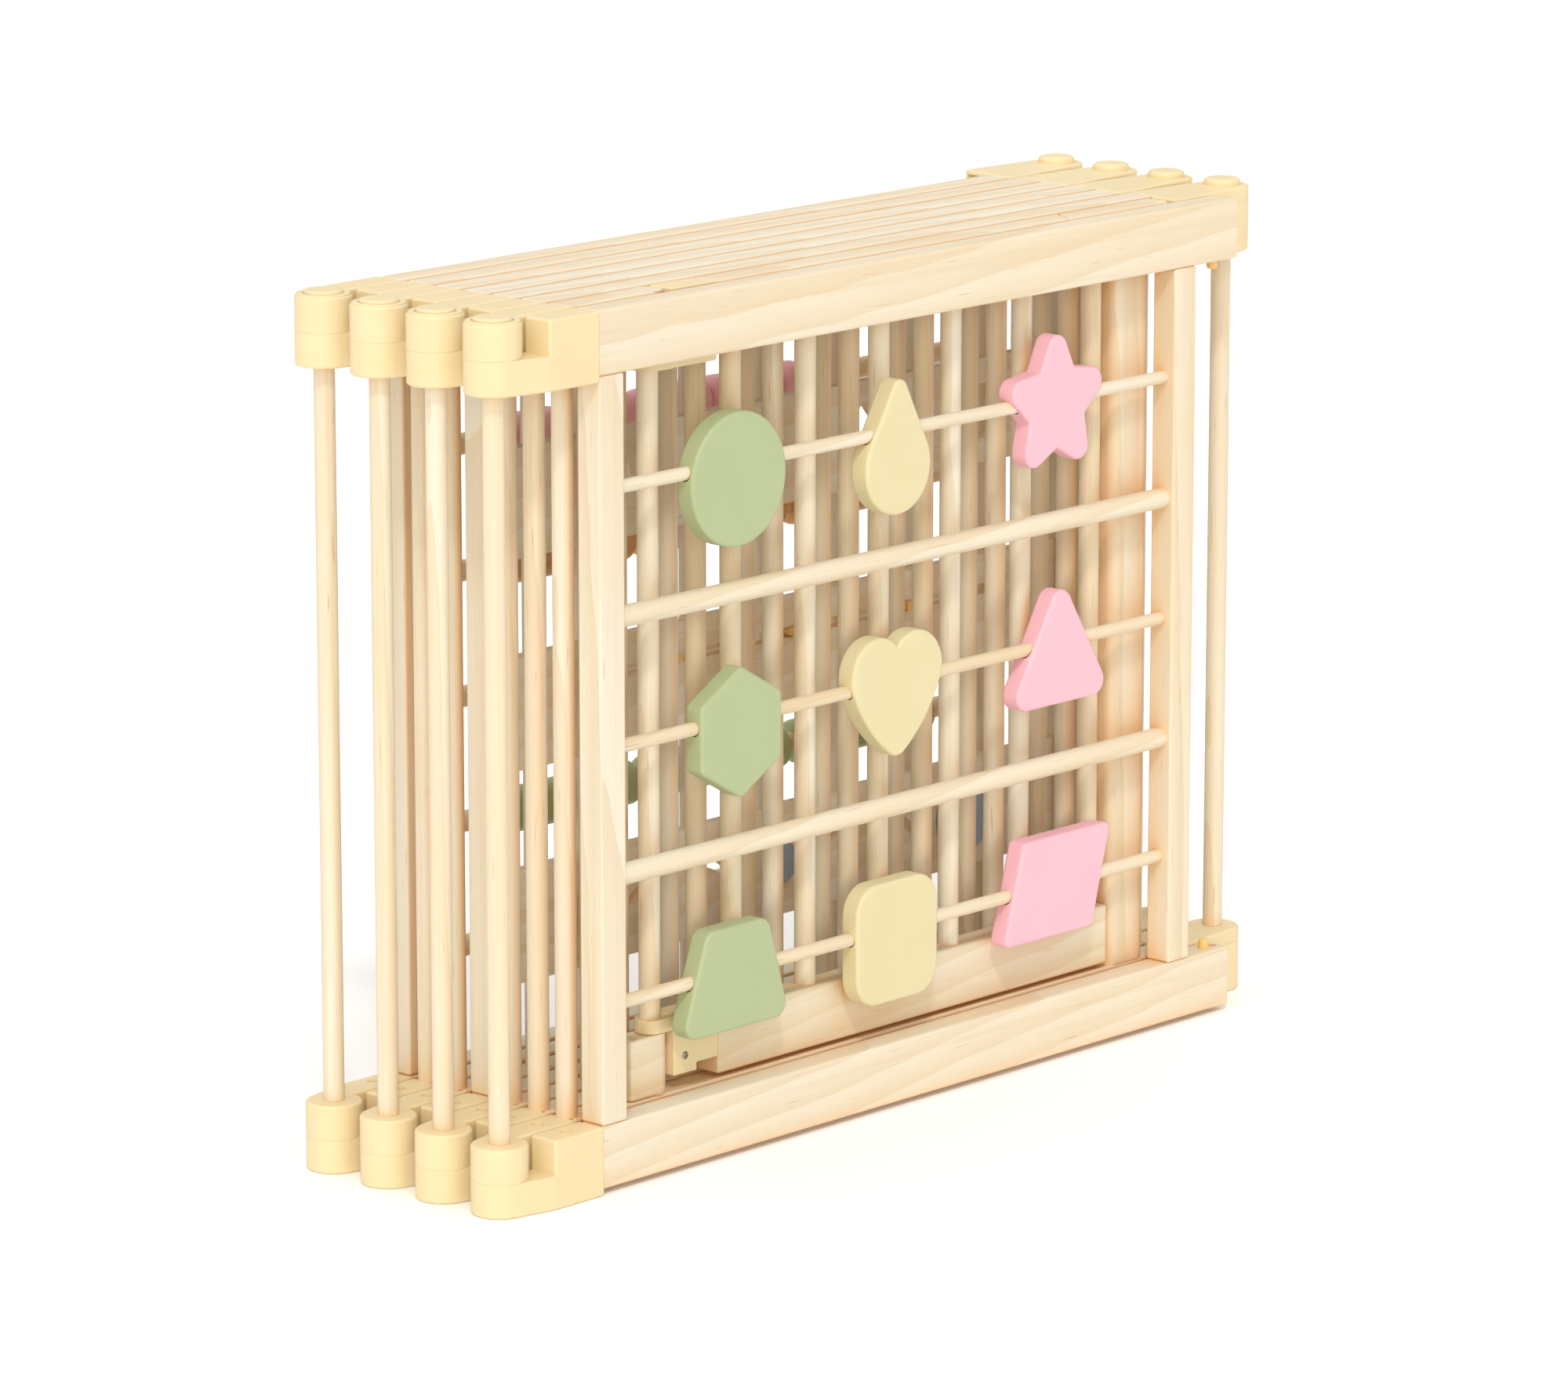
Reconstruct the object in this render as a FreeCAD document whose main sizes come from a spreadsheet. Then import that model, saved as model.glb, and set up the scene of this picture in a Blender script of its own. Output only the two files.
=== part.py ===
import FreeCAD, Part

# A folding wooden playpen: eight panels of pine and pale plastic, hinged in one zig-zag chain, folded flat.
# Millimetres. +Z is up, +X runs along the panels, -Y is the side of the shape-toy panel. The origin is the
# centre of the folded pack's footprint, at the height of the castings' undersides. Panels are numbered from
# the front. Neighbours share a hinge on the left (1-2, 3-4, 5-6, 7-8) or on the right (2-3, 4-5, 6-7).
import math
import os

import Sketcher
from FreeCAD import Vector

DIMENSIONS = {
    # the chain
    "pitch": 26.5,
    "slat_step": 77.75,
    "rail_thick": 21,
    "rail_high": 44,
    "panel_high": 600,
    "rail_lift": 4,
    "edge_round": 2,
    # wooden bars
    "slat_radius": 7.5,
    "dowel_radius": 7.25,
    "thin_rod_radius": 4.75,
    "stile_wide": 24,
    "right_stile_left": 277.25,
    "bare_end": 347.25,
    "bar_step": 88.4,
    "low_bar": 127.4,
    # castings
    "casting_thick": 24,
    "casting_high": 48,
    "casting_long": 75,
    "knuckle_radius": 19.5,
    "notch_wall": 28,
    "seam_gap": 0.1,
    "ring_rise": 1,
    "cap_radius": 13.5,
    "cap_high": 3.8,
    "cap_seat_deep": 1.6,
    "knob_high": 5,
    "knob_round": 3.5,
    "pin_radius": 4.5,
    "pin_clearance": 0.05,
    "pin_lift": 8,
    "pin_cover_left": 9,
    "pin_cover_right": 5,
    "blind_end": 10,
    "ring_narrower": 1.2,
    "moulding_hole_radius": 4.5,
    "moulding_hole_inset": 25,
    "moulding_hole_deep": 2,
    "hood_long": 80.5,
    "hood_plate": 10,
    "hood_corner_radius": 77,
    "hood_skin": 3,
    "hood_pocket_long": 26,
    "tongue_clearance": 0.4,
    # the gate
    "gate_pivot": -229.75,
    "gate_left": -172.75,
    "gate_right": 239.25,
    "latch_joint": 196.25,
    "latch_slant": 5.75,
    "latch_right": 302.25,
    "post_left": 243.25,
    "post_right": 282.25,
    "block_left": -258.75,
    "bracket_left": -217.75,
    "gate_gap": 3,
    "ear_high": 10,
    "bracket_plate_right": -194,
    "bracket_plate_foot": 58.5,
    "bracket_foot": 64,
    "ear_clearance": 0.5,
    "latch_recess": 1,
    "latch_gap": 1.2,
    "latch_round": 3,
    "post_round": 8,
    "gate_slat_inset": 24,
    "gate_slat_step": 75.2,
    # pegs that lock the front panel's free end
    "peg_radius": 4,
    "peg_high": 7,
    "peg_inset": 17,
    "peg_round": 2.5,
    "peg_hole_inset": 7,
    "peg_hole_radius": 3,
    # toys
    "toy_thick": 16,
    "toy_round": 2.6,
    "toy_hole_radius": 5.2,
    # activity boards and rollers
    "board_thick": 10,
    "board_top_foot": 417,
    "board_top_head": 493,
    "board_middle_foot": 270,
    "board_middle_head": 349,
    "board_bottom_foot": 121,
    "board_bottom_head": 200,
    "bead_slot_level": 324,
    "stud_radius": 3.6,
    "stud_stands_out": 4,
    "wheel_thick": 5,
    "roller_radius": 16,
    "bead_radius": 15,
    "roller_bore": 7.6,
    "rod_row": 800,
}

PANELS = range(1, 9)
SLATTED = (3, 4, 6, 7)
LEFT_AXIS = "-5 * dims.slat_step"
RIGHT_AXIS = "5 * dims.slat_step"
RAIL_LEFT = "-5 * dims.slat_step + dims.casting_long"
RAIL_RIGHT = "5 * dims.slat_step - dims.hood_long"
TONGUE_LEFT = "5 * dims.slat_step - dims.hood_corner_radius - dims.tongue_clearance"
STILE_INSIDE = "-5 * dims.slat_step + dims.casting_long + dims.stile_wide"
STILE_RIGHT = "dims.right_stile_left + dims.stile_wide"
TOP = "dims.rail_lift + dims.panel_high"
BAR_FOOT = "dims.rail_lift + dims.rail_high"
BAR_HEAD = "dims.rail_lift + dims.panel_high - dims.rail_high"
TOP_CASTING = "dims.rail_lift + dims.panel_high - dims.casting_high"
GATE_FOOT = "dims.rail_lift + dims.rail_high + dims.gate_gap"
GATE_SILL = "dims.rail_lift + 2 * dims.rail_high + dims.gate_gap"

doc = FreeCAD.newDocument("playpen")
sheet = doc.addObject("Spreadsheet::Sheet", "dims")
for row, (alias, number) in enumerate(DIMENSIONS.items(), start=1):
    sheet.set(f"A{row}", alias)
    sheet.set(f"B{row}", str(number))
    sheet.setAlias(f"B{row}", alias)
doc.recompute()

nodes = []


# ---------------------------------------------------------------- helpers


def dim(alias):
    """The value of one driving dimension."""
    return float(sheet.get(alias))


def bind(item, **expressions):
    """Drive properties from the sheet. A double underscore stands for a dot."""
    for name, expression in expressions.items():
        item.setExpression(name.replace("__", "."), expression)
    return item


def place(item, x="0", y="0", z="0"):
    return bind(item, Placement__Base__x=x, Placement__Base__y=y, Placement__Base__z=z)


def panel_y(panel):
    """Where a panel's middle plane lies in the folded pack."""
    front = "(dims.casting_thick / 2 - dims.knuckle_radius - 7.5 * dims.pitch) / 2"
    return f"{front} + {panel - 1} * dims.pitch"


def node_body(name, panel):
    """A body that is one sub-part, drawn about its panel's middle plane."""
    body = doc.addObject("PartDesign::Body", name)
    body.Label = name
    place(body, y=panel_y(panel))
    nodes.append(body)
    return body


def node_group(name, panel, pieces):
    """A sub-part made of several separate pieces, each drawn about the panel's middle plane."""
    group = doc.addObject("Part::Compound", name)
    group.Links = pieces
    group.Label = name
    place(group, y=panel_y(panel))
    nodes.append(group)


def copy_of(master, x="0", z="0"):
    link = doc.addObject("App::Link", master.Name + "_copy")
    link.LinkedObject = master
    return place(link, x=x, z=z)


def feature(body, kind, **expressions):
    return bind(body.newObject("PartDesign::" + kind, kind), **expressions)


def sketch_on(body, role, offset="0"):
    """A sketch on one of the body's own origin planes, moved along its normal."""
    sketch = body.newObject("Sketcher::SketchObject", "Sketch")
    plane = next(item for item in body.Origin.OriginFeatures if item.Role == role)
    sketch.AttachmentSupport = (plane, [""])
    sketch.MapMode = "FlatFace"
    return bind(sketch, AttachmentOffset__Base__z=offset)


def circle(sketch, x, y, radius):
    """A circle whose centre and radius are expressions."""
    index = sketch.addGeometry(Part.Circle(Vector(0, 0, 0), Vector(0, 0, 1), 1))
    limits = (
        (Sketcher.Constraint("Radius", index, 1), radius),
        (Sketcher.Constraint("DistanceX", -1, 1, index, 3, 0), x),
        (Sketcher.Constraint("DistanceY", -1, 1, index, 3, 0), y),
    )
    for constraint, expression in limits:
        sketch.setExpression(f"Constraints[{sketch.addConstraint(constraint)}]", expression)


def outline(sketch, points):
    """A closed outline. A point given with four numbers is reached by an arc through the last two."""
    start = points[-1]
    for point in points:
        begin = Vector(start[0], start[1], 0)
        end = Vector(point[0], point[1], 0)
        if len(point) == 4:
            sketch.addGeometry(Part.Arc(begin, Vector(point[2], point[3], 0), end))
        else:
            sketch.addGeometry(Part.LineSegment(begin, end))
        start = point


def rounded_corners(points, radii):
    """An outline of straight sides whose corners are arcs. The points run round it in either direction."""
    result = []
    count = len(points)
    for i, corner in enumerate(points):
        here = Vector(*corner, 0)
        back = (Vector(*points[i - 1], 0) - here).normalize()
        ahead = (Vector(*points[(i + 1) % count], 0) - here).normalize()
        half = back.getAngle(ahead) / 2
        radius = radii[i % len(radii)]
        reach = radius / math.tan(half)
        middle = here + (back + ahead).normalize() * (radius / math.sin(half) - radius)
        begin = here + back * reach
        end = here + ahead * reach
        result += [(begin.x, begin.y), (end.x, end.y, middle.x, middle.y)]
    return result


def pad(body, sketch, length, symmetric=False):
    item = feature(body, "Pad", Length=length)
    item.Profile = sketch
    item.Midplane = symmetric
    return item


def pocket(body, sketch, length, symmetric=False, upward=False):
    """A cut that has to take something away."""
    doc.recompute()
    before = body.Tip.Shape.Volume
    item = feature(body, "Pocket", Length=length)
    item.Profile = sketch
    item.Midplane = symmetric
    item.Reversed = upward
    doc.recompute()
    if item.Shape.Volume > before - 1:
        raise ValueError(f"{body.Name}: a pocket cut nothing")
    return item


def box(body, length, width, height, x="0", y="0", z="0"):
    return place(feature(body, "AdditiveBox", Length=length, Width=width, Height=height), x, y, z)


def bar(body, left, right, foot, head, thick="dims.rail_thick"):
    """A rectangular bar centred on the panel's middle plane."""
    return box(body, f"({right}) - ({left})", thick, f"({head}) - ({foot})", left, f"-{thick} / 2", foot)


def soften(body, radius="dims.edge_round", choose=None):
    """Round every edge of the body so far, or those that choose picks."""
    doc.recompute()
    base = body.Tip
    item = feature(body, "Fillet", Radius=radius)
    if choose is None:
        item.Base = (base, [""])
        item.UseAllEdges = True
    else:
        picked = [f"Edge{i}" for i, edge in enumerate(base.Shape.Edges, start=1) if choose(edge)]
        item.Base = (base, picked)
    doc.recompute()
    return item


def at_level(edge, level):
    return all(abs(vertex.Point.z - level) < 1e-3 for vertex in edge.Vertexes)


def upright(edge):
    ends = edge.Vertexes
    return len(ends) == 2 and (ends[0].Point - ends[1].Point).cross(Vector(0, 0, 1)).Length < 1e-3


def along_y(edge):
    ends = edge.Vertexes
    return len(ends) == 2 and (ends[0].Point - ends[1].Point).cross(Vector(0, 1, 0)).Length < 1e-3


def uprights(body, places, radius, foot, head):
    """Round upright bars at the given places along the panel."""
    sketch = sketch_on(body, "XY_Plane", foot)
    for x in places:
        circle(sketch, x, "0", radius)
    pad(body, sketch, f"({head}) - ({foot})")


def cross_bars(body, levels, radius, left, right):
    """Round bars along the panel at the given heights."""
    sketch = sketch_on(body, "YZ_Plane", left)
    for z in levels:
        circle(sketch, "0", z, radius)
    pad(body, sketch, f"({right}) - ({left})")


def tangent_point(corner, radius, side):
    """Where a straight line from a corner touches a circle about the origin. side is +1 or -1."""
    far = math.hypot(*corner)
    angle = math.atan2(corner[1], corner[0]) + side * math.acos(radius / far)
    return radius * math.cos(angle), radius * math.sin(angle)


def bore(body, x, y, low, high, radius="dims.pin_radius + dims.pin_clearance"):
    """An upright round hole between two heights."""
    sketch = sketch_on(body, "XY_Plane", low)
    circle(sketch, x, y, radius)
    pocket(body, sketch, f"({high}) - ({low})", upward=True)


# ---------------------------------------------------------------- castings


def left_casting(name, odd, upper):
    """The casting at a panel's left end. An odd panel carries the lower half of the knuckle."""
    side = -1 if odd else 1
    axis_y = -side * dim("pitch") / 2
    axis_x = -5 * dim("slat_step")
    half = dim("casting_high") / 2
    gap = dim("seam_gap") / 2
    low, high = (0, half - gap) if odd else (half + gap, 2 * half)
    outer = side * (dim("pitch") + dim("casting_thick")) / 2
    inner = side * (dim("pitch") - dim("casting_thick")) / 2
    wall = dim("notch_wall")
    radius = dim("knuckle_radius")
    touch = tangent_point((wall, outer), radius, side)
    meet = (math.sqrt(radius**2 - inner**2), inner)

    def spot(x, y):
        return axis_x + x, axis_y + y

    body = doc.addObject("PartDesign::Body", name)
    plan = sketch_on(body, "XY_Plane")
    front, rear = axis_y + min(outer, inner, key=abs), axis_y + max(outer, inner, key=abs)
    ends = axis_x + wall, axis_x + dim("casting_long")
    corners = [(ends[0], front), (ends[0], rear), (ends[1], rear), (ends[1], front)]
    outline(plan, rounded_corners(corners, (dim("edge_round"),)))
    pad(body, plan, "dims.casting_high")
    arm = sketch_on(body, "XY_Plane", str(low))
    nose = (*spot(*meet), *spot(-radius, 0))
    outline(arm, [spot(wall + 4, outer), spot(wall, outer), spot(*touch), nose, spot(wall + 4, inner)])
    pad(body, arm, str(high - low))
    soften(body, choose=lambda edge: at_level(edge, 0) or at_level(edge, 2 * half))
    pin_end = "dims.casting_high"
    if upper and not odd:
        ring = sketch_on(body, "XY_Plane", "dims.casting_high - dims.edge_round")
        circle(ring, LEFT_AXIS, str(axis_y), "dims.knuckle_radius - dims.ring_narrower")
        pad(body, ring, "dims.edge_round + dims.ring_rise")
        soften(body, "0.7", lambda edge: at_level(edge, 2 * half + dim("ring_rise")))
        seat = "dims.casting_high + dims.ring_rise - dims.cap_seat_deep"
        rim = "dims.casting_high + dims.knob_high"
        bore(body, LEFT_AXIS, str(axis_y), seat, rim, "dims.cap_radius + dims.tongue_clearance")
        pin_end = "dims.casting_high - dims.knob_high - 1"
    bore(body, LEFT_AXIS, str(axis_y), "-1" if odd else "dims.blind_end", pin_end)
    if not upper:
        floor = "dims.casting_high - dims.moulding_hole_deep"
        centre = f"{RAIL_LEFT} - dims.moulding_hole_inset"
        bore(body, centre, "0", floor, "dims.casting_high + 1", "dims.moulding_hole_radius")
    return body


def hood(name, upper):
    """The right-hand casting of an even panel: a block with a plate over the neighbour's tongue.

    The plate is hollow where it starts, with a skin on top and round its sides.
    """
    axis_x = 5 * dim("slat_step")
    axis_y = dim("pitch") / 2
    edge_y = (dim("pitch") + dim("casting_thick")) / 2
    split_y = (dim("pitch") - dim("casting_thick")) / 2
    radius = dim("knuckle_radius")
    corner = dim("hood_corner_radius")
    left = -dim("hood_long")
    plate_foot = dim("casting_high") - dim("hood_plate")
    front_touch = tangent_point((left, -edge_y), radius, 1)
    rear_corner = (-math.sqrt(corner**2 - edge_y**2), edge_y)
    rear_touch = tangent_point(rear_corner, radius, -1)
    step = (-math.sqrt(corner**2 - split_y**2), -split_y)
    arc_middle = (-corner * math.cos(0.16), corner * math.sin(0.16))

    def spot(x, y):
        return axis_x + x, axis_y + y

    body = doc.addObject("PartDesign::Body", name)
    plan = sketch_on(body, "XY_Plane")
    outline(
        plan,
        [
            spot(left, -edge_y),
            spot(*front_touch),
            (*spot(*rear_touch), *spot(radius, 0)),
            spot(*rear_corner),
            (*spot(*step), *spot(*arc_middle)),
            spot(left, -split_y),
        ],
    )
    pad(body, plan, "dims.casting_high")
    high = dim("casting_high")
    soften(body, choose=lambda edge: at_level(edge, 0) or at_level(edge, high))
    room = sketch_on(body, "XY_Plane", "-1")
    past, turn = 2 * edge_y, -8
    start = left - 1
    corners = [(start, -split_y), (start, past), (past, past), (past, -past), (turn, -past), (turn, -split_y)]
    outline(room, [spot(*corner) for corner in corners])
    pocket(body, room, str(plate_foot + 1), upward=True)
    turning = "dims.knuckle_radius + dims.tongue_clearance"
    bore(body, RIGHT_AXIS, str(axis_y), "-1", str(plate_foot), turning)
    skin = dim("hood_skin")
    hollow = sketch_on(body, "XY_Plane", "-1")
    inside, outside = -split_y + skin, edge_y - skin
    end = left + dim("hood_pocket_long")
    outline(hollow, [spot(start, inside), spot(start, outside), spot(end, outside), spot(end, inside)])
    pocket(body, hollow, str(high - skin + 1), upward=True)
    pin_end = "dims.casting_high - 3" if upper else "dims.casting_high + 1"
    bore(body, RIGHT_AXIS, str(axis_y), str(plate_foot - 1), pin_end)
    return body


def tongue(name):
    """The right-hand casting of an odd panel, which turns under its neighbour's plate."""
    axis_x = 5 * dim("slat_step")
    axis_y = -dim("pitch") / 2
    edge_y = (dim("pitch") + dim("casting_thick")) / 2
    split_y = (dim("pitch") - dim("casting_thick")) / 2
    radius = dim("knuckle_radius")
    corner = dim("hood_corner_radius") + dim("tongue_clearance")
    rear_corner = (-math.sqrt(corner**2 - edge_y**2), edge_y)
    touch = tangent_point(rear_corner, radius, -1)
    meet = (-math.sqrt(radius**2 - split_y**2), split_y)
    front_corner = (-math.sqrt(corner**2 - split_y**2), split_y)
    arc_middle = (-corner * math.cos(0.17), corner * math.sin(0.17))

    def spot(x, y):
        return axis_x + x, axis_y + y

    body = doc.addObject("PartDesign::Body", name)
    plan = sketch_on(body, "XY_Plane")
    knuckle = (*spot(*meet), *spot(radius, 0))
    far_end = (*spot(*rear_corner), *spot(*arc_middle))
    outline(plan, [far_end, spot(*touch), knuckle, spot(*front_corner)])
    pad(body, plan, "dims.casting_high - dims.hood_plate - dims.seam_gap")
    soften(body, choose=lambda edge: at_level(edge, 0))
    bore(body, RIGHT_AXIS, str(axis_y), "-1", "dims.casting_high")
    return body


CASTINGS = {
    (odd, upper): left_casting(f"left_casting_{odd:d}{upper:d}", odd, upper)
    for odd in (True, False)
    for upper in (True, False)
}
HOODS = {upper: hood(f"hood_{upper:d}", upper) for upper in (True, False)}
TONGUE = tongue("tongue")


def castings(panel):
    """A panel's four castings, or the two left-hand ones of the front panel."""
    odd = panel % 2 == 1
    pieces = [
        copy_of(CASTINGS[odd, False]),
        copy_of(CASTINGS[odd, True], z=TOP_CASTING),
    ]
    if not odd:
        pieces += [copy_of(HOODS[False]), copy_of(HOODS[True], z=TOP_CASTING)]
    elif panel > 1:
        pieces += [copy_of(TONGUE), copy_of(TONGUE, z=TOP_CASTING)]
    node_group(f"p{panel}_castings", panel, pieces)


def hinge_dowel(body, x, y, top_end):
    """A dowel that fills a hinge line between its castings, on a thinner pin that runs on into them."""
    lower = "dims.casting_high + dims.seam_gap"
    upper = TOP_CASTING
    length = f"{upper} - ({lower})"
    place(feature(body, "AdditiveCylinder", Radius="dims.dowel_radius", Height=length), x, y, lower)
    pin = feature(body, "AdditiveCylinder", Radius="dims.pin_radius", Height=f"{top_end} - dims.pin_lift")
    place(pin, x, y, "dims.pin_lift")


def dowels(panel):
    """The hinge dowels that an odd panel carries: one behind it on the left, one before it on the right."""
    body = node_body(f"p{panel}_hinge_dowels", panel)
    hinge_dowel(body, LEFT_AXIS, "dims.pitch / 2", f"{TOP} - dims.pin_cover_left")
    if panel > 1:
        hinge_dowel(body, RIGHT_AXIS, "-dims.pitch / 2", f"{TOP} - dims.pin_cover_right")


def caps(panel):
    """The round cap in the left knuckle's ring and the knob on the right-hand plate."""
    body = node_body(f"p{panel}_caps", panel)
    cap = feature(body, "AdditiveCylinder", Radius="dims.cap_radius", Height="dims.cap_high")
    place(cap, LEFT_AXIS, "-dims.pitch / 2", f"{TOP} + dims.ring_rise - dims.cap_seat_deep")
    knob = feature(body, "AdditiveCylinder", Radius="dims.cap_radius", Height="dims.knob_high")
    place(knob, RIGHT_AXIS, "dims.pitch / 2", TOP)
    top = dim("rail_lift") + dim("panel_high")
    cap_top = top + dim("ring_rise") - dim("cap_seat_deep") + dim("cap_high")
    soften(body, "dims.edge_round", lambda edge: at_level(edge, cap_top))
    soften(body, "dims.knob_round", lambda edge: at_level(edge, top + dim("knob_high")))


# ---------------------------------------------------------------- wooden frames


def rails(panel):
    """The top and bottom rail. An odd panel's rails end in a hollow curve round its neighbour's plate."""
    body = node_body(f"p{panel}_rails", panel)
    hollow_end = panel % 2 == 1 and panel > 1
    right = "dims.bare_end" if panel == 1 else RAIL_RIGHT
    if hollow_end:
        right = f"{TONGUE_LEFT} + dims.stile_wide / 3"
    bar(body, RAIL_LEFT, right, "dims.rail_lift", BAR_FOOT)
    bar(body, RAIL_LEFT, right, BAR_HEAD, TOP)
    soften(body)
    if hollow_end:
        turning = "dims.hood_corner_radius + dims.tongue_clearance + dims.seam_gap"
        bore(body, RIGHT_AXIS, "-dims.pitch / 2", "-1", f"{TOP} + 1", turning)
    if panel == 1:
        hole_x = "dims.bare_end - dims.peg_hole_inset"
        bore(body, hole_x, "0", f"{BAR_FOOT} - dims.peg_high", f"{BAR_FOOT} + 1", "dims.peg_hole_radius")


def stiles(panel):
    body = node_body(f"p{panel}_stiles", panel)
    bar(body, RAIL_LEFT, STILE_INSIDE, BAR_FOOT, BAR_HEAD)
    bar(body, "dims.right_stile_left", STILE_RIGHT, BAR_FOOT, BAR_HEAD)
    soften(body)


def notch_under_castings(body, right_edge=None):
    """Shorten the part of an outer slat under a top casting, which hangs lower than the rail."""
    reach, half = dim("slat_step"), dim("rail_thick") / 2
    spans = [(-5 * reach, -5 * reach + dim("casting_long"))]
    if right_edge is not None:
        spans.append((5 * reach - right_edge, 5 * reach))
    notch = sketch_on(body, "XY_Plane", TOP_CASTING)
    for left, right in spans:
        outline(notch, [(left, -half), (right, -half), (right, half), (left, half)])
    pocket(body, notch, "dims.casting_high - dims.rail_high + 1", upward=True)


def slats(panel):
    body = node_body(f"p{panel}_slats", panel)
    uprights(body, [f"{i} * dims.slat_step" for i in range(-4, 5)], "dims.slat_radius", BAR_FOOT, BAR_HEAD)
    even_edge = dim("hood_long")
    odd_edge = dim("hood_corner_radius") + dim("tongue_clearance")
    notch_under_castings(body, odd_edge if panel % 2 else even_edge)


def rod_level(number):
    """The height of one of a play panel's five horizontal rods, counted from the lowest."""
    return f"dims.low_bar + {number} * dims.bar_step"


# ---------------------------------------------------------------- panel 1: shape toys


def two_circles(big, big_radius, small, small_radius):
    """The outline of a belt round two circles."""
    span = Vector(small[0] - big[0], small[1] - big[1], 0)
    lean = math.atan2(span.y, span.x)
    open_angle = math.acos((big_radius - small_radius) / span.Length)

    def on(centre, radius, angle):
        return centre[0] + radius * math.cos(angle), centre[1] + radius * math.sin(angle)

    right, left = lean - open_angle, lean + open_angle
    return [
        on(small, small_radius, right),
        (*on(small, small_radius, left), *on(small, small_radius, lean)),
        on(big, big_radius, left),
        (*on(big, big_radius, right), *on(big, big_radius, lean + math.pi)),
    ]


def star_points(outer, inner, lift):
    angles = [math.pi / 2 + i * math.pi / 5 for i in range(10)]
    spans = [outer if i % 2 == 0 else inner for i in range(10)]
    return [(r * math.cos(a), lift + r * math.sin(a)) for r, a in zip(spans, angles)]


def heart_outline():
    """Two round lobes with a shallow notch between them, bowed sides and a round tip."""
    lobe_at, lobe = Vector(19.5, 8.5, 0), 27
    tip_at, tip = Vector(0, -39, 0), 12
    side = 110
    span = lobe_at - tip_at
    reach = side - tip
    swing = math.acos((reach**2 + span.Length**2 - (side - lobe) ** 2) / (2 * reach * span.Length))
    lean = math.atan2(span.y, span.x) + swing
    centre = tip_at + Vector(math.cos(lean), math.sin(lean), 0) * reach
    shoulder = lobe_at + (lobe_at - centre).normalize() * lobe
    low = tip_at + (tip_at - centre).normalize() * tip
    bow = centre + (shoulder + low - centre * 2).normalize() * side
    crown = lobe_at + Vector(0, lobe, 0)
    notch = lobe_at.y + math.sqrt(lobe**2 - lobe_at.x**2)
    return [
        (0, notch, -crown.x, crown.y),
        (shoulder.x, shoulder.y, crown.x, crown.y),
        (low.x, low.y, bow.x, bow.y),
        (-low.x, low.y, 0, tip_at.y - tip),
        (-shoulder.x, shoulder.y, -bow.x, bow.y),
    ]


def hexagon_points(reach, lift):
    angles = [i * math.pi / 3 for i in range(6)]
    return [(reach * math.sin(a), lift + reach * math.cos(a)) for a in angles]


TRIANGLE = [(-55.5, -42.4), (0, 50.6), (55.5, -42.4)]
TRAPEZOID = [(-54, -38), (-29, 35), (32, 35), (53, -38)]
SQUARE = [(-42, -50), (-42, 37), (42, 37), (42, -50)]
PARALLELOGRAM = [(-58, -35.5), (-37, 38.5), (58, 38.5), (38.5, -35.5)]
# each toy's place along its rod, the number of that rod and its outline about the rod
TOY_SHAPES = {
    "circle": (-175.5, 4, [(46.5, -9, 0, 37.5), (-46.5, -9, 0, -55.5)]),
    "drop": (-14.75, 4, two_circles((0, -23.7), 33.3, (1.7, 30.3), 7.5)),
    "star": (153, 4, rounded_corners(star_points(63, 31, -2.5), (10, 3))),
    "hexagon": (-173.5, 2, rounded_corners(hexagon_points(46, -7.5), (6,))),
    "heart": (-14.75, 2, heart_outline()),
    "triangle": (159, 2, rounded_corners(TRIANGLE, (11,))),
    "trapezoid": (-178.5, 0, rounded_corners(TRAPEZOID, (10,))),
    "square": (-14.5, 0, rounded_corners(SQUARE, (21,))),
    "parallelogram": (157, 0, rounded_corners(PARALLELOGRAM, (5,))),
}


def toy(name):
    """A flat wooden shape that slides along its rod."""
    x, level, points = TOY_SHAPES[name]
    body = node_body(f"toy_{name}", 1)
    place(body, str(x), panel_y(1), rod_level(level) + " - dims.toy_hole_radius + dims.thin_rod_radius")
    plan = sketch_on(body, "XZ_Plane")
    outline(plan, points)
    pad(body, plan, "dims.toy_thick", symmetric=True)
    soften(body, "dims.toy_round", lambda edge: not along_y(edge))
    hole = sketch_on(body, "YZ_Plane")
    circle(hole, "0", "0", "dims.toy_hole_radius")
    pocket(body, hole, "2 * dims.slat_step", symmetric=True)


def front_panel():
    stiles(1)
    thick = node_body("p1_thick_rods", 1)
    levels = [rod_level(1), rod_level(3)]
    cross_bars(thick, levels, "dims.slat_radius", STILE_INSIDE, "dims.right_stile_left")
    thin = node_body("p1_thin_rods", 1)
    levels = [rod_level(0), rod_level(2), rod_level(4)]
    cross_bars(thin, levels, "dims.thin_rod_radius", STILE_INSIDE, "dims.right_stile_left")
    for name in TOY_SHAPES:
        toy(name)
    pegs = node_body("p1_pegs", 1)
    for foot in (BAR_FOOT, f"{BAR_HEAD} - dims.peg_high"):
        peg = feature(pegs, "AdditiveCylinder", Radius="dims.peg_radius", Height="dims.peg_high")
        place(peg, "dims.bare_end - dims.peg_inset", "0", foot)
    reach = dim("rail_high") + dim("peg_high")
    free_ends = [dim("rail_lift") + level for level in (reach, dim("panel_high") - reach)]
    soften(pegs, "dims.peg_round", lambda edge: any(at_level(edge, level) for level in free_ends))


# ---------------------------------------------------------------- panel 2: gate


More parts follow.
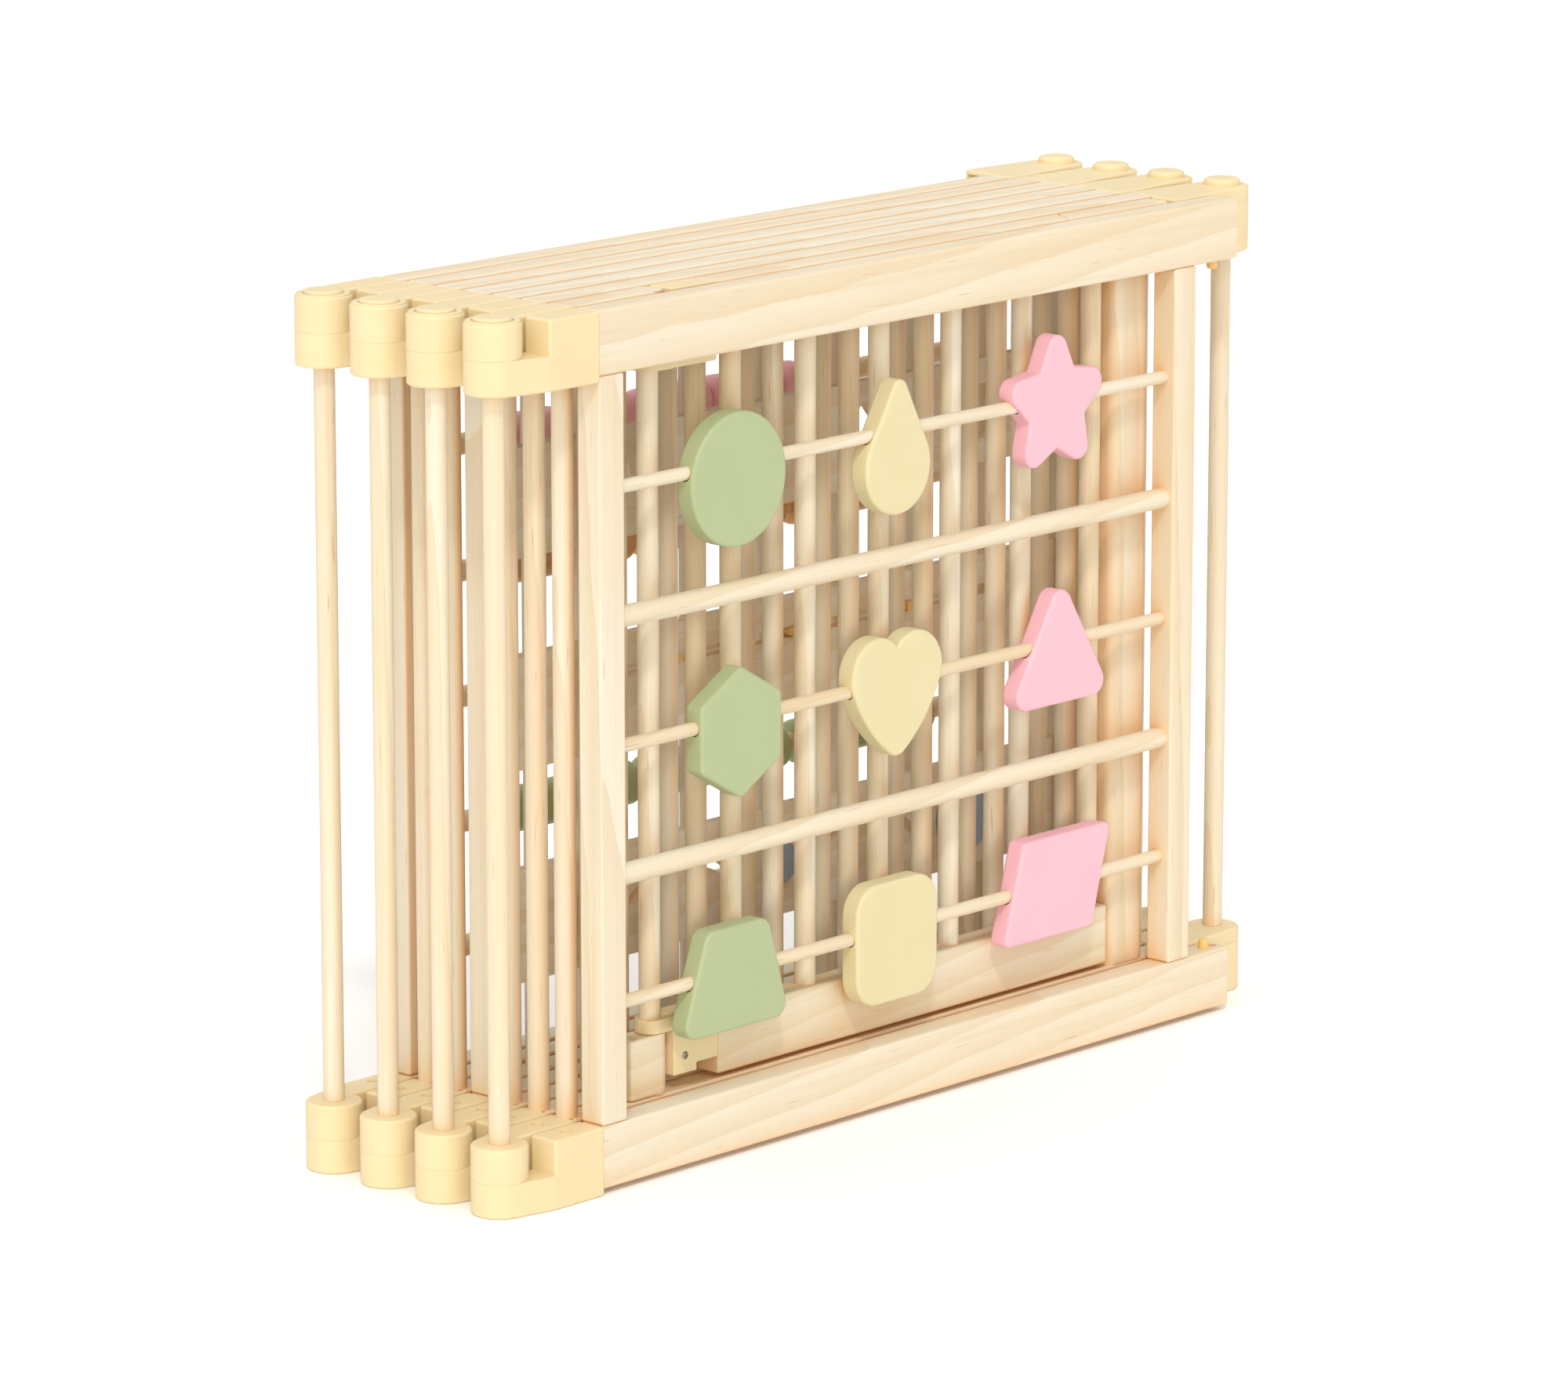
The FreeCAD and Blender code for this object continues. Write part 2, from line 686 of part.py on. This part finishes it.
def gate_frame():
    fixed = node_body("p2_rails", 2)
    bar(fixed, RAIL_LEFT, RAIL_RIGHT, "dims.rail_lift", BAR_FOOT)
    bar(fixed, RAIL_LEFT, "dims.gate_pivot", BAR_HEAD, TOP)
    soften(fixed)
    cap = feature(fixed, "AdditiveCylinder", Radius="dims.rail_thick / 2", Height="dims.rail_high")
    place(cap, "dims.gate_pivot", "0", BAR_HEAD)
    first = node_body("p2_slats", 2)
    uprights(first, ["-4 * dims.slat_step"], "dims.slat_radius", BAR_FOOT, BAR_HEAD)
    notch_under_castings(first)
    block = node_body("p2_pivot_block", 2)
    block_head = f"{BAR_FOOT} + dims.rail_high - 1"
    bar(block, "dims.block_left", "dims.gate_pivot", BAR_FOOT, block_head)
    soften(block)
    end = feature(block, "AdditiveCylinder", Radius="dims.rail_thick / 2", Height="dims.rail_high - 1")
    place(end, "dims.gate_pivot", "0", BAR_FOOT)
    uprights(first, ["dims.gate_pivot"], "dims.slat_radius", block_head, BAR_HEAD)
    post = node_body("p2_post", 2)
    bar(post, "dims.post_left", "dims.post_right", BAR_FOOT, f"{BAR_HEAD} - dims.ear_clearance")
    soften(post, "dims.post_round", upright)


def gate():
    """The gate leaf. Its top rail ends in a slanted joint, and the latch piece carries on beyond it."""
    door = node_body("gate_rails", 2)
    bar(door, "dims.gate_left", "dims.gate_right", GATE_FOOT, GATE_SILL)
    top = sketch_on(door, "XY_Plane", BAR_HEAD)
    half = dim("rail_thick") / 2
    slant = dim("latch_slant")
    joint = dim("latch_joint")
    left = dim("gate_left")
    outline(top, [(left, -half), (joint - slant, -half), (joint + slant, half), (left, half)])
    pad(door, top, "dims.rail_high")
    soften(door)
    latch = node_body("gate_latch", 2)
    plan = sketch_on(latch, "XY_Plane", BAR_HEAD)
    right = dim("latch_right")
    front = dim("latch_recess") - half
    start = joint + dim("latch_gap")
    outline(plan, [(start - slant, front), (right, front), (right, half), (start + slant, half)])
    pad(latch, plan, "dims.rail_high")
    soften(latch, "dims.latch_round")
    places = [f"dims.gate_left + dims.gate_slat_inset + {i} * dims.gate_slat_step" for i in range(6)]
    uprights(node_body("gate_slats", 2), places, "dims.slat_radius", GATE_SILL, BAR_HEAD)
    brackets()


def brackets():
    """The gate's two plastic hinge brackets, each a block with an ear round the gate's dowel.

    The lower one reaches furthest down beside the pivot, where a screw holds it.
    """
    body = node_body("gate_brackets", 2)
    low_ear = "dims.rail_lift + 2 * dims.rail_high - dims.ear_clearance"
    high_ear = f"{BAR_HEAD} - dims.ear_high - dims.ear_clearance / 2"
    block_left = "dims.bracket_left + dims.edge_round / 2"
    low_head = f"{low_ear} + dims.ear_high"
    bar(body, block_left, "dims.gate_left", "dims.bracket_foot", low_head)
    bar(body, block_left, "dims.bracket_plate_right", "dims.bracket_plate_foot", low_head)
    bar(body, block_left, "dims.gate_left", high_ear, TOP)
    soften(body, "dims.edge_round / 2")
    ear_high = "dims.ear_high - dims.ear_clearance"
    hole = "dims.slat_radius + dims.pin_clearance"
    for ear in (low_ear, high_ear):
        bar(body, "dims.gate_pivot", f"{block_left} + dims.edge_round", ear, f"{ear} + {ear_high}")
        ring = feature(body, "AdditiveCylinder", Radius="dims.rail_thick / 2", Height=ear_high)
        place(ring, "dims.gate_pivot", "0", ear)
        bore(body, "dims.gate_pivot", "0", f"{ear} - 1", f"{ear} + dims.ear_high", hole)


# ---------------------------------------------------------------- panel 5: activity boards


def board(name, foot, head, cut):
    """A thin board between the stiles with shapes cut through it."""
    body = node_body(name, 5)
    bar(body, STILE_INSIDE, "dims.right_stile_left", foot, head, "dims.board_thick")
    sketch = sketch_on(body, "XZ_Plane")
    cut(sketch)
    pocket(body, sketch, "dims.board_thick * 2", symmetric=True)


def shape_holes(sketch):
    """A round hole, a triangle, a diamond and a square in a row."""
    level = 455
    circle(sketch, "-190", str(level), "22")
    for x, points in (
        (-60, [(-26, -20), (0, 24), (26, -20)]),
        (70, [(0, -26), (-22, 0), (0, 26), (22, 0)]),
        (190, [(-20, -20), (-20, 20), (20, 20), (20, -20)]),
    ):
        outline(sketch, rounded_corners([(x + u, level + w) for u, w in points], (4,)))


def bead_slot(sketch):
    half, level, radius = 215, dim("bead_slot_level"), 4
    low, high = level - radius, level + radius
    corners = [(-half, low), (-half, high), (half, high), (half, low)]
    outline(sketch, rounded_corners(corners, (radius * 0.99,)))


def wave_slots(sketch):
    """Two arched slots side by side."""
    level, wide = 150, 4
    for x, reach in ((-120, 60), (70, 60)):
        outer, inner = reach + wide, reach - wide
        left, right = (x - outer, level), (x + outer, level)
        outline(
            sketch,
            [
                (*right, x, level + outer * 0.5),
                (x + inner, level),
                (x - inner, level, x, level + inner * 0.42),
                left,
            ],
        )


def activity_panel():
    stiles(5)
    board("p5_board_top", "dims.board_top_foot", "dims.board_top_head", shape_holes)
    board("p5_board_middle", "dims.board_middle_foot", "dims.board_middle_head", bead_slot)
    board("p5_board_bottom", "dims.board_bottom_foot", "dims.board_bottom_head", wave_slots)
    studs = node_body("p5_slot_studs", 5)
    sketch = sketch_on(studs, "XZ_Plane")
    for x in range(-185, 176, 60):
        circle(sketch, str(x), "dims.bead_slot_level", "dims.stud_radius")
    pad(studs, sketch, "dims.board_thick + 2 * dims.stud_stands_out", symmetric=True)
    wheels = node_body("p5_wheels", 5)
    for x, z, radius in ((-205, 160, 15), (-20, 160, 15), (175, 160, 28)):
        sketch = sketch_on(wheels, "XZ_Plane", "dims.board_thick / 2")
        circle(sketch, str(x), str(z), str(radius))
        pad(wheels, sketch, "dims.wheel_thick")
    soften(wheels, "dims.edge_round / 2")


# ---------------------------------------------------------------- panel 8: rods with rollers


def turned(name, level, radius, places, long, round_edge):
    """A row of identical round pieces threaded on one of the roller panel's rods."""
    body = node_body(name, 8)
    place(body, "0", panel_y(8), rod_level(level))
    for left in places:
        sketch = sketch_on(body, "YZ_Plane", str(left))
        circle(sketch, "0", "0", radius)
        pad(body, sketch, str(long))
    soften(body, str(round_edge))
    hole = sketch_on(body, "YZ_Plane")
    circle(hole, "0", "0", "dims.roller_bore")
    pocket(body, hole, "dims.rod_row", symmetric=True)


def roller_panel():
    stiles(8)
    rods = node_body("p8_rods", 8)
    levels = [rod_level(number) for number in range(5)]
    cross_bars(rods, levels, "dims.slat_radius", STILE_INSIDE, "dims.right_stile_left")
    turned("p8_beads", 4, "dims.bead_radius", [-230 + 24.6 * i for i in range(13)], 24, 7)
    turned("p8_brown_rollers", 3, "dims.roller_radius", (-230, -75, 80), 140, 3)
    turned("p8_green_rollers", 1, "dims.roller_radius", (-225, -70, 85), 140, 3)


# ---------------------------------------------------------------- the whole pen

for panel in PANELS:
    castings(panel)
    if panel != 2:
        rails(panel)
    if panel in SLATTED:
        slats(panel)
    if panel % 2:
        dowels(panel)
    else:
        caps(panel)
front_panel()
gate_frame()
gate()
activity_panel()
roller_panel()
last_dowel = node_body("p8_hinge_dowel", 8)
hinge_dowel(last_dowel, RIGHT_AXIS, "dims.pitch / 2", f"{TOP} - dims.pin_cover_right")

doc.recompute()
for item in doc.Objects:
    if any(state in ("Invalid", "Error") for state in item.State):
        raise ValueError(f"{item.Name} ({item.Label}) failed: {item.State}")
os.makedirs("parts", exist_ok=True)
for item in nodes:
    shape = item.Shape
    if shape.isNull() or not shape.isValid():
        raise ValueError(f"{item.Label} is not a valid shape")
    shape.exportStep(f"parts/{item.Label}.step")
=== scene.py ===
# Looks of the folding playpen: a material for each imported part, the gate's screws, a studio and a camera.
# Metres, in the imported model's frame: +Z up, +X along the panels, -Y the side of the shape toys.
import math

import bmesh
import bpy
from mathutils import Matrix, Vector


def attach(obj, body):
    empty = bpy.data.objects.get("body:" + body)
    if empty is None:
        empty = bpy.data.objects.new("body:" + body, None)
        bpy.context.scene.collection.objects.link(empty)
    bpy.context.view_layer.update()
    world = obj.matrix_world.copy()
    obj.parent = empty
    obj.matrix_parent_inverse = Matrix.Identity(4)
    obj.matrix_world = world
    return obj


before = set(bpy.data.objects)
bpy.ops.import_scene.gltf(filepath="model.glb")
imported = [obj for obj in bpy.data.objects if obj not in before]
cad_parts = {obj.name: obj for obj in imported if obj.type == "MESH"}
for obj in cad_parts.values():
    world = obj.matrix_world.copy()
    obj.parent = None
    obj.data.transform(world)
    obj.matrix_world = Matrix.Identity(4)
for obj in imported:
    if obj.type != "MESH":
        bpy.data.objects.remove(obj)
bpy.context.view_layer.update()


def linear(red, green, blue):
    """A colour given as 0-255 display values, as the linear values that shaders take."""
    channels = [value / 255 for value in (red, green, blue)]
    return tuple(c / 12.92 if c <= 0.04045 else ((c + 0.055) / 1.055) ** 2.4 for c in channels) + (1.0,)


class Shader:
    """A material's node tree, with short ways to add and join nodes."""

    def __init__(self, name):
        self.material = bpy.data.materials.new(name)
        self.material.use_nodes = True
        self.tree = self.material.node_tree
        self.surface = self.tree.nodes["Principled BSDF"]

    def node(self, kind, links=None, **settings):
        made = self.tree.nodes.new("ShaderNode" + kind)
        for key, value in settings.items():
            if hasattr(made, key):
                setattr(made, key, value)
            else:
                made.inputs[key.replace("_", " ")].default_value = value
        for socket, source in (links or {}).items():
            self.tree.links.new(source, made.inputs[socket])
        return made

    def place(self, stretch, offset=(0, 0, 0), turn=(0, 0, 0)):
        """Coordinates that stay with the part, scaled by stretch."""
        coordinates = self.node("TexCoord").outputs["Object"]
        return self.node("Mapping", {"Vector": coordinates}, Scale=stretch, Location=offset,
                         Rotation=turn).outputs["Vector"]

    def noise(self, vector, scale, detail=2.0, roughness=0.5):
        return self.node("TexNoise", {"Vector": vector}, Scale=scale, Detail=detail,
                         Roughness=roughness).outputs["Fac"]

    def remap(self, value, low, high, to_low, to_high):
        mapped = self.node("MapRange", {"Value": value}, From_Min=low, From_Max=high,
                           To_Min=to_low, To_Max=to_high)
        return mapped.outputs["Result"]

    def mix(self, factor, first, second):
        made = self.node("Mix", data_type="RGBA")
        for name, value in (("Factor", factor), ("A", first), ("B", second)):
            kind = "VALUE" if name == "Factor" else "RGBA"
            socket = next(item for item in made.inputs if item.name == name and item.type == kind)
            if isinstance(value, bpy.types.NodeSocket):
                self.tree.links.new(value, socket)
            else:
                socket.default_value = value
        return next(item for item in made.outputs if item.type == "RGBA")

    def bump(self, height, distance, strength=1.0, below=None):
        links = {"Height": height}
        if below is not None:
            links["Normal"] = below
        return self.node("Bump", links, Distance=distance, Strength=strength).outputs["Normal"]

    def finish(self, colour, roughness, normal, **constants):
        self.tree.links.new(colour, self.surface.inputs["Base Color"])
        self.tree.links.new(roughness, self.surface.inputs["Roughness"])
        self.tree.links.new(normal, self.surface.inputs["Normal"])
        for key, value in constants.items():
            self.surface.inputs[key.replace("_", " ")].default_value = value
        return self.material


def along(axis, across, lengthwise):
    """Scale factors for a pattern that runs along one axis."""
    return tuple(lengthwise if name == axis else across for name in "XYZ")


AS_IT_IS = (1, 1, 1)
# Where the heart of the tree lies for boards along X and along Z, how far it moves from one board to the
# next, and how the rings lean
PITH = {"X": Vector((0.0, 0.052, -0.655)), "Z": Vector((0.0, 0.052, -0.071))}
PITH_STEP = Vector((0.31, 0.017, -0.0061))
RING_LEAN = {"X": (0, 0.10, 0.06), "Z": (0.05, 0.03, 0)}
RING_SCALE = 16.0
# How far from its neighbours wood takes painted shade, and the warmer, darker tone of that painted shade,
# which stands in for the shade and warm bounced light between parts
PAINTED_SHADE_REACH = 0.030
PAINTED_SHADE_TONE = linear(236, 178, 108)


def wood(name, axis, pale, warm, line, streak, board=0):
    """Planed softwood: growth rings cut lengthwise, fine fibre, a few resin flecks and a satin coat, with
    painted shade in a warm darker tone where other parts come near.

    Each board number moves the heart of the tree, so that neighbouring boards differ.
    """
    look = Shader(name)
    tone = look.noise(look.place(along(axis, 17, 0.45), (3.1 + board, 1.7, 0.4)), 1.0, 1.0)
    log = look.place(AS_IT_IS, PITH[axis] + board * PITH_STEP, RING_LEAN[axis])
    rings = look.node(
        "TexWave", {"Vector": log}, wave_type="RINGS", rings_direction=axis, wave_profile="SAW",
        Scale=RING_SCALE, Distortion=1.7, Detail=1.0, Detail_Scale=0.6, Detail_Roughness=0.5,
    ).outputs["Fac"]
    late_wood = look.remap(rings, 0.15, 1.0, 0.0, 1.0)
    fibre = look.noise(look.place(along(axis, 1100, 14)), 1.0, 3.0, 0.6)
    flecks = look.noise(look.place(along(axis, 620, 26), (0.7, 2.2, 5.1)), 1.0, 1.0, 0.5)
    bands = look.noise(look.place(along(axis, 120, 1.6), (2.7, 0.2, 1.1)), 1.0, 2.0, 0.5)
    body = look.mix(look.remap(tone, 0.3, 0.7, 0.0, 1.0), pale, warm)
    lined = look.mix(look.remap(late_wood, 0.0, 1.0, 0.0, 0.42), body, line)
    banded = look.mix(look.remap(bands, 0.52, 0.8, 0.0, 0.4), lined, line)
    flecked = look.mix(look.remap(flecks, 0.71, 0.8, 0.0, 0.5), banded, streak)
    fibred = look.mix(look.remap(fibre, 0.35, 0.75, 0.0, 0.12), flecked, streak)
    # Painted shade: where other parts are near, the colour is mixed towards a warm darker tone in place of
    # the shade and bounced light there
    painted_shade_ao = look.node("AmbientOcclusion", Distance=PAINTED_SHADE_REACH, samples=6).outputs["AO"]
    colour = look.mix(look.remap(painted_shade_ao, 0.2, 0.8, 0.75, 0.0), fibred, PAINTED_SHADE_TONE)
    roughness = look.remap(fibre, 0.3, 0.7, 0.46, 0.6)
    grain = look.bump(fibre, 0.00006, 0.5)
    normal = look.bump(late_wood, 0.00006, 0.4, grain)
    return look.finish(colour, roughness, normal, Specular_IOR_Level=0.35, Coat_Weight=0.08,
                       Coat_Roughness=0.3)


SCUFF = linear(255, 244, 214)
ZINC, ZINC_GLINT = linear(150, 138, 116), linear(196, 186, 160)


def plastic(name, base, shade):
    """Satin moulded plastic: a fine mould texture, faint flow marks and slight scuffing."""
    look = Shader(name)
    flow = look.noise(look.place((9, 9, 22), (1.3, 0.2, 0.8)), 1.0, 3.0)
    mould = look.noise(look.place(AS_IT_IS), 1900.0, 2.0, 0.6)
    scuffs = look.noise(look.place((60, 60, 9), (4.0, 2.0, 1.0)), 1.0, 4.0, 0.7)
    colour = look.mix(look.remap(flow, 0.35, 0.7, 0.0, 1.0), base, shade)
    worn = look.mix(look.remap(scuffs, 0.62, 0.8, 0.0, 0.12), colour, SCUFF)
    roughness = look.remap(scuffs, 0.3, 0.75, 0.36, 0.52)
    normal = look.bump(mould, 0.00005, 0.35, look.bump(flow, 0.0006, 0.08))
    return look.finish(worn, roughness, normal, Specular_IOR_Level=0.42)


def paint(name, base, shade):
    """Satin paint on wood: a little grain shows through a soft roller texture."""
    look = Shader(name)
    grain = look.noise(look.place(along("Z", 420, 14)), 1.0, 2.0, 0.5)
    film = look.noise(look.place(AS_IT_IS), 700.0, 2.0, 0.5)
    cloud = look.noise(look.place((34, 34, 34), (0.3, 6.0, 2.0)), 1.0, 2.0)
    colour = look.mix(look.remap(cloud, 0.3, 0.75, 0.0, 0.4), base, shade)
    streaked = look.mix(look.remap(grain, 0.6, 0.8, 0.0, 0.1), colour, shade)
    roughness = look.remap(film, 0.3, 0.7, 0.42, 0.54)
    normal = look.bump(film, 0.00005, 0.3, look.bump(grain, 0.00005, 0.35))
    return look.finish(streaked, roughness, normal, Specular_IOR_Level=0.4)


def metal(name):
    """Brushed, zinc-plated screw steel."""
    look = Shader(name)
    brush = look.noise(look.place((900, 900, 900)), 1.0, 3.0)
    colour = look.mix(look.remap(brush, 0.3, 0.7, 0.0, 1.0), ZINC, ZINC_GLINT)
    normal = look.bump(brush, 0.00003, 0.3)
    return look.finish(colour, look.remap(brush, 0.3, 0.7, 0.3, 0.5), normal, Metallic=1.0)


PALE = linear(232, 226, 209)
WARM = linear(229, 215, 187)
LINE = linear(216, 189, 145)
STREAK = linear(186, 138, 90)
PANELS = range(1, 9)
pine = {
    (axis, panel): wood(f"pine_{axis.lower()}_{panel}", axis, PALE, WARM, LINE, STREAK, panel)
    for axis in "XZ" for panel in PANELS
}
pale_plastic = plastic("pale_plastic", linear(231, 213, 171), linear(229, 209, 164))
paints = {
    "green": paint("green_paint", linear(174, 186, 143), linear(168, 180, 136)),
    "yellow": paint("yellow_paint", linear(221, 210, 168), linear(217, 204, 158)),
    "pink": paint("pink_paint", linear(243, 186, 200), linear(240, 178, 193)),
    "blue": paint("blue_paint", linear(150, 166, 184), linear(138, 156, 178)),
    "amber": paint("amber_paint", linear(236, 196, 120), linear(228, 184, 106)),
}
brown_wood = wood(
    "brown_wood", "X",
    linear(222, 178, 132), linear(212, 164, 114), linear(190, 138, 92), linear(150, 98, 58),
)
screw_steel = metal("screw_steel")

PAINTED = {
    "green": ("toy_circle", "toy_hexagon", "toy_trapezoid", "p8_green_rollers"),
    "yellow": ("toy_drop", "toy_heart", "toy_square"),
    "pink": ("toy_star", "toy_triangle", "toy_parallelogram", "p8_beads"),
    "blue": ("p5_wheels",),
    "amber": ("p1_pegs", "p5_slot_studs"),
}
NODE_PAINT = {node: colour for colour, nodes in PAINTED.items() for node in nodes}
# Words in a part's name that say that it is plastic, or wood whose grain runs along X
PLASTIC_WORDS = ("castings", "caps", "brackets")
LEVEL_WORDS = ("rails", "rods", "latch", "board", "pivot_block")
GATE_PANEL = 2


def material_for(node):
    """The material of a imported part, from what its name says it is."""
    if node in NODE_PAINT:
        return paints[NODE_PAINT[node]]
    if node == "p8_brown_rollers":
        return brown_wood
    if any(word in node for word in PLASTIC_WORDS):
        return pale_plastic
    panel = int(node[1]) if node[1].isdigit() else GATE_PANEL
    axis = "X" if any(word in node for word in LEVEL_WORDS) else "Z"
    return pine[axis, panel]


for name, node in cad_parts.items():
    node.data.materials.clear()
    node.data.materials.append(material_for(name))
    for face in node.data.polygons:
        face.material_index = 0

# The screws that hold the gate's two brackets. The cross in a screw's head has two slots.
SCREW_RADIUS = 0.0029
SCREW_DOME = 0.0009
SLOT_HALF_WIDTH = 0.00045
SLOT_REACH = 0.0019
SLOT_DEEP = 0.0008
RINGS, SECTORS = 16, 48


def screw_height(u, v):
    """How far a screw's face stands out at a point: a low dome with a cross cut into it."""
    reach = math.hypot(u, v) / SCREW_RADIUS
    dome = SCREW_DOME * math.sqrt(max(0.0, 1 - reach**3))
    in_cross = min(abs(u), abs(v)) < SLOT_HALF_WIDTH and max(abs(u), abs(v)) < SLOT_REACH
    return dome - SLOT_DEEP if in_cross else dome


def screw(name, place, body):
    """A cross-head screw that looks towards -Y, seated on the surface at place."""
    mesh = bmesh.new()
    middle = mesh.verts.new((0, -screw_height(0, 0), 0))
    rows = []
    for ring in range(1, RINGS + 1):
        radius = SCREW_RADIUS * ring / RINGS
        angles = [2 * math.pi * i / SECTORS for i in range(SECTORS)]
        points = [(radius * math.cos(angle), radius * math.sin(angle)) for angle in angles]
        rows.append([mesh.verts.new((u, -screw_height(u, v), v)) for u, v in points])
    rows.append([mesh.verts.new((corner.co.x, SCREW_DOME, corner.co.z)) for corner in rows[-1]])
    for i in range(SECTORS):
        after = (i + 1) % SECTORS
        mesh.faces.new((middle, rows[0][i], rows[0][after]))
        for inner, outer in zip(rows, rows[1:]):
            mesh.faces.new((inner[i], outer[i], outer[after], inner[after]))
    mesh.faces.new(list(reversed(rows[-1])))
    bmesh.ops.recalc_face_normals(mesh, faces=mesh.faces)
    data = bpy.data.meshes.new(name)
    mesh.to_mesh(data)
    mesh.free()
    data.materials.append(screw_steel)
    made = bpy.data.objects.new(name, data)
    made.location = place
    bpy.context.scene.collection.objects.link(made)
    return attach(made, body)


def box_of(node):
    """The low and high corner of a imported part."""
    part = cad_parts[node]
    spots = [part.matrix_world @ vertex.co for vertex in part.data.vertices]
    low = Vector([min(spot[i] for spot in spots) for i in range(3)])
    high = Vector([max(spot[i] for spot in spots) for i in range(3)])
    return low, high


SCREW_FROM_RAIL = 0.033
SCREW_ABOVE_FOOT = 0.0128
SCREW_BELOW_TOP = 0.022
bracket_low, bracket_high = box_of("gate_brackets")
screw_x = box_of("gate_rails")[0].x - SCREW_FROM_RAIL
screw("gate_screw_lower", (screw_x, bracket_low.y, bracket_low.z + SCREW_ABOVE_FOOT), "gate")
screw("gate_screw_upper", (screw_x, bracket_low.y, bracket_high.z - SCREW_BELOW_TOP), "gate")

# Studio: a wide white floor under a sky that is brighter overhead
FLOOR_HALF = 20.0
FLOOR_TONES = (0.93, 0.93, 0.93, 1), (0.95, 0.95, 0.95, 1)
WHITE = (1, 1, 1, 1)
floor_mesh = bpy.data.meshes.new("floor")
corners = [(-1, -1), (1, -1), (1, 1), (-1, 1)]
floor_mesh.from_pydata([(FLOOR_HALF * x, FLOOR_HALF * y, 0) for x, y in corners], [], [(0, 1, 2, 3)])
floor = bpy.data.objects.new("floor", floor_mesh)
bpy.context.scene.collection.objects.link(floor)
sweep = Shader("studio_floor")
speckle = sweep.noise(sweep.place(AS_IT_IS), 40.0, 2.0)
sweep.finish(sweep.mix(speckle, *FLOOR_TONES), sweep.remap(speckle, 0, 1, 0.8, 0.9),
             sweep.bump(speckle, 0.0001, 0.1), Specular_IOR_Level=0.1, Emission_Color=WHITE,
             Emission_Strength=0.05)
floor_mesh.materials.append(sweep.material)

HORIZON, ZENITH = 0.38, 1.25
SKY_TINT = (0.99, 0.975, 0.95, 1.0)
world = bpy.data.worlds.new("studio")
bpy.context.scene.world = world
world.use_nodes = True
world.node_tree.nodes["Background"].inputs["Color"].default_value = SKY_TINT
sky = world.node_tree
direction = sky.nodes.new("ShaderNodeTexCoord").outputs["Generated"]
height = sky.nodes.new("ShaderNodeSeparateXYZ")
sky.links.new(direction, height.inputs["Vector"])
glow = sky.nodes.new("ShaderNodeMapRange")
sky.links.new(height.outputs["Z"], glow.inputs["Value"])
glow.inputs["To Min"].default_value = HORIZON
glow.inputs["To Max"].default_value = ZENITH
sky.links.new(glow.outputs["Result"], sky.nodes["Background"].inputs["Strength"])


def lamp(name, energy, toward, softness, colour):
    """A sun lamp that shines along toward. Its softness is its width in the sky, in degrees."""
    data = bpy.data.lights.new(name, "SUN")
    data.energy = energy
    data.angle = math.radians(softness)
    data.color = colour
    made = bpy.data.objects.new(name, data)
    made.rotation_euler = Vector(toward).to_track_quat("-Z", "Y").to_euler()
    bpy.context.scene.collection.objects.link(made)


lamp("key", 0.9, (0.50, 0.50, -0.80), 6, (1.0, 0.99, 0.985))
lamp("front_fill", 0.76, (0.734, 0.679, -0.20), 24, (1.0, 0.90, 0.70))
lamp("side_fill", 0.25, (0.95, 0.25, -0.35), 50, (1.0, 0.98, 0.94))

# Camera, in millimetres for the lens, metres for the place and degrees for the turns
LENS, SENSOR = 171.45, 36
CAMERA_PLACE = (-3.78075, -3.488625, 1.429)
CAMERA_DIP, CAMERA_TURN = 12.65, -47.21
LEVEL = 90
camera_data = bpy.data.cameras.new("camera")
camera_data.sensor_width = SENSOR
camera_data.lens = LENS
camera_data.clip_start = 0.1
camera_data.clip_end = 50
camera = bpy.data.objects.new("camera", camera_data)
camera.location = CAMERA_PLACE
camera.rotation_euler = (math.radians(LEVEL - CAMERA_DIP), 0, math.radians(CAMERA_TURN))
bpy.context.scene.collection.objects.link(camera)
bpy.context.scene.camera = camera
bpy.context.scene.view_settings.view_transform = "Standard"
